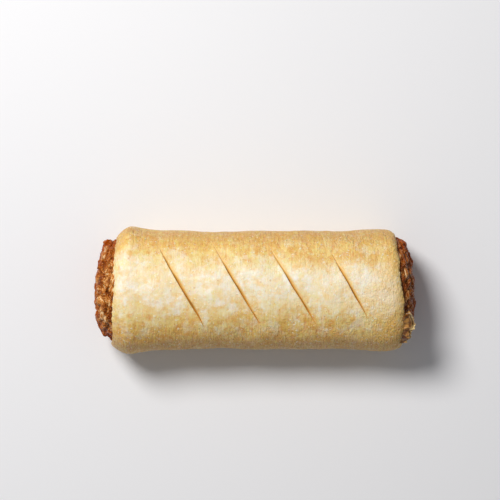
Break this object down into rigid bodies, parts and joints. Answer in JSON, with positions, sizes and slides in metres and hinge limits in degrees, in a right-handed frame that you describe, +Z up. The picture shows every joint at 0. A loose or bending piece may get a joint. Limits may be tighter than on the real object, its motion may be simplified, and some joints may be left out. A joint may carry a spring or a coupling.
{
  "type": "sausage roll",
  "caption": "Unbaked sausage roll: a sheet of pale puff pastry rolled round coarse sausage meat that bulges from both open ends, with slanting slits in its top.",
  "frame": {"origin": "middle of the roll's box, at its flat base", "axes": "+X along the roll to the end with the ragged tongue of pastry, +Y to the far side where the sheet's free edge lies, +Z up"},
  "size_m": [0.1604, 0.0634, 0.046],
  "materials": {
    "pastry": "floury raw puff pastry, cream with golden patches, half matt",
    "sausage_meat": "coarse moist sausage meat, brown with paler fat, softly glossy"
  },
  "bodies": {
    "root": {"pastry": "pastry", "sausage_meat": "sausage_meat"}
  },
  "joints": []
}
